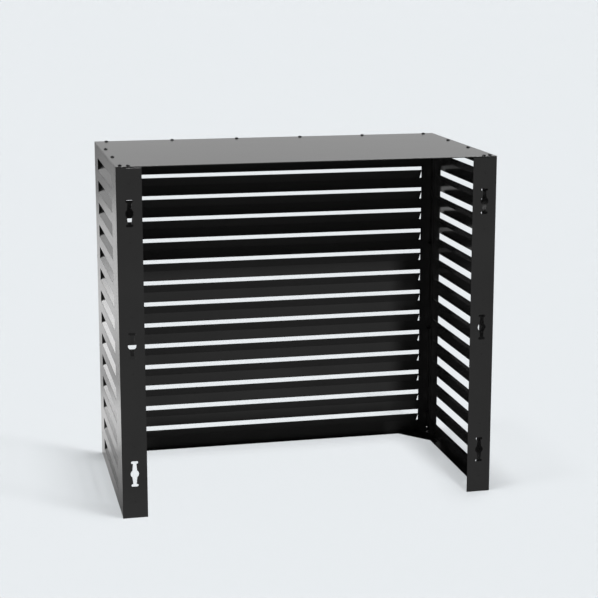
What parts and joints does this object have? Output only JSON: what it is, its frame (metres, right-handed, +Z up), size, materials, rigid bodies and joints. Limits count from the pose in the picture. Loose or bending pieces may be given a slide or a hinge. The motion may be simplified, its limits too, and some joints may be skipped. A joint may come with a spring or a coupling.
{
  "type": "air conditioner screen",
  "caption": "Louvred black steel screen that covers an outdoor air conditioner unit, with a flat top, an open back and bottom, and rear flanges with keyholes for the wall.",
  "frame": {"origin": "middle of the footprint, at ground level", "axes": "+X along the width, +Y towards the louvred front, -Y towards the wall behind the open back, +Z up"},
  "size_m": [0.925, 0.52, 0.8529],
  "materials": {
    "powder_coat": "matt black powder coat",
    "black_fastener": "black zinc plate"
  },
  "bodies": {
    "root": {"clinch_nut_01": "black_fastener", "clinch_nut_02": "black_fastener", "clinch_nut_03": "black_fastener", "clinch_nut_04": "black_fastener", "clinch_nut_05": "black_fastener", "clinch_nut_06": "black_fastener", "clinch_nut_07": "black_fastener", "clinch_nut_08": "black_fastener", "clinch_nut_09": "black_fastener", "clinch_nut_10": "black_fastener", "clinch_nut_11": "black_fastener", "clinch_nut_12": "black_fastener", "clinch_nut_13": "black_fastener", "clinch_nut_14": "black_fastener", "front_panel": "powder_coat", "left_bracket_screw_1": "black_fastener", "left_bracket_screw_2": "black_fastener", "left_bracket_screw_3": "black_fastener", "left_bracket_screw_4": "black_fastener", "left_corner_nut_1": "black_fastener", "left_corner_nut_2": "black_fastener", "left_corner_nut_3": "black_fastener", "left_corner_nut_4": "black_fastener", "left_corner_stud_1": "black_fastener", "left_corner_stud_2": "black_fastener", "left_corner_stud_3": "black_fastener", "left_corner_stud_4": "black_fastener", "left_floor_bracket": "powder_coat", "left_side_panel": "powder_coat", "right_bracket_screw_1": "black_fastener", "right_bracket_screw_2": "black_fastener", "right_bracket_screw_3": "black_fastener", "right_bracket_screw_4": "black_fastener", "right_corner_nut_1": "black_fastener", "right_corner_nut_2": "black_fastener", "right_corner_nut_3": "black_fastener", "right_corner_nut_4": "black_fastener", "right_corner_stud_1": "black_fastener", "right_corner_stud_2": "black_fastener", "right_corner_stud_3": "black_fastener", "right_corner_stud_4": "black_fastener", "right_floor_bracket": "powder_coat", "right_side_panel": "powder_coat", "top_panel": "powder_coat", "top_screw_01": "black_fastener", "top_screw_02": "black_fastener", "top_screw_03": "black_fastener", "top_screw_04": "black_fastener", "top_screw_05": "black_fastener", "top_screw_06": "black_fastener", "top_screw_07": "black_fastener", "top_screw_08": "black_fastener", "top_screw_09": "black_fastener", "top_screw_10": "black_fastener", "top_screw_11": "black_fastener", "top_screw_12": "black_fastener", "top_screw_13": "black_fastener", "top_screw_14": "black_fastener"}
  },
  "joints": []
}
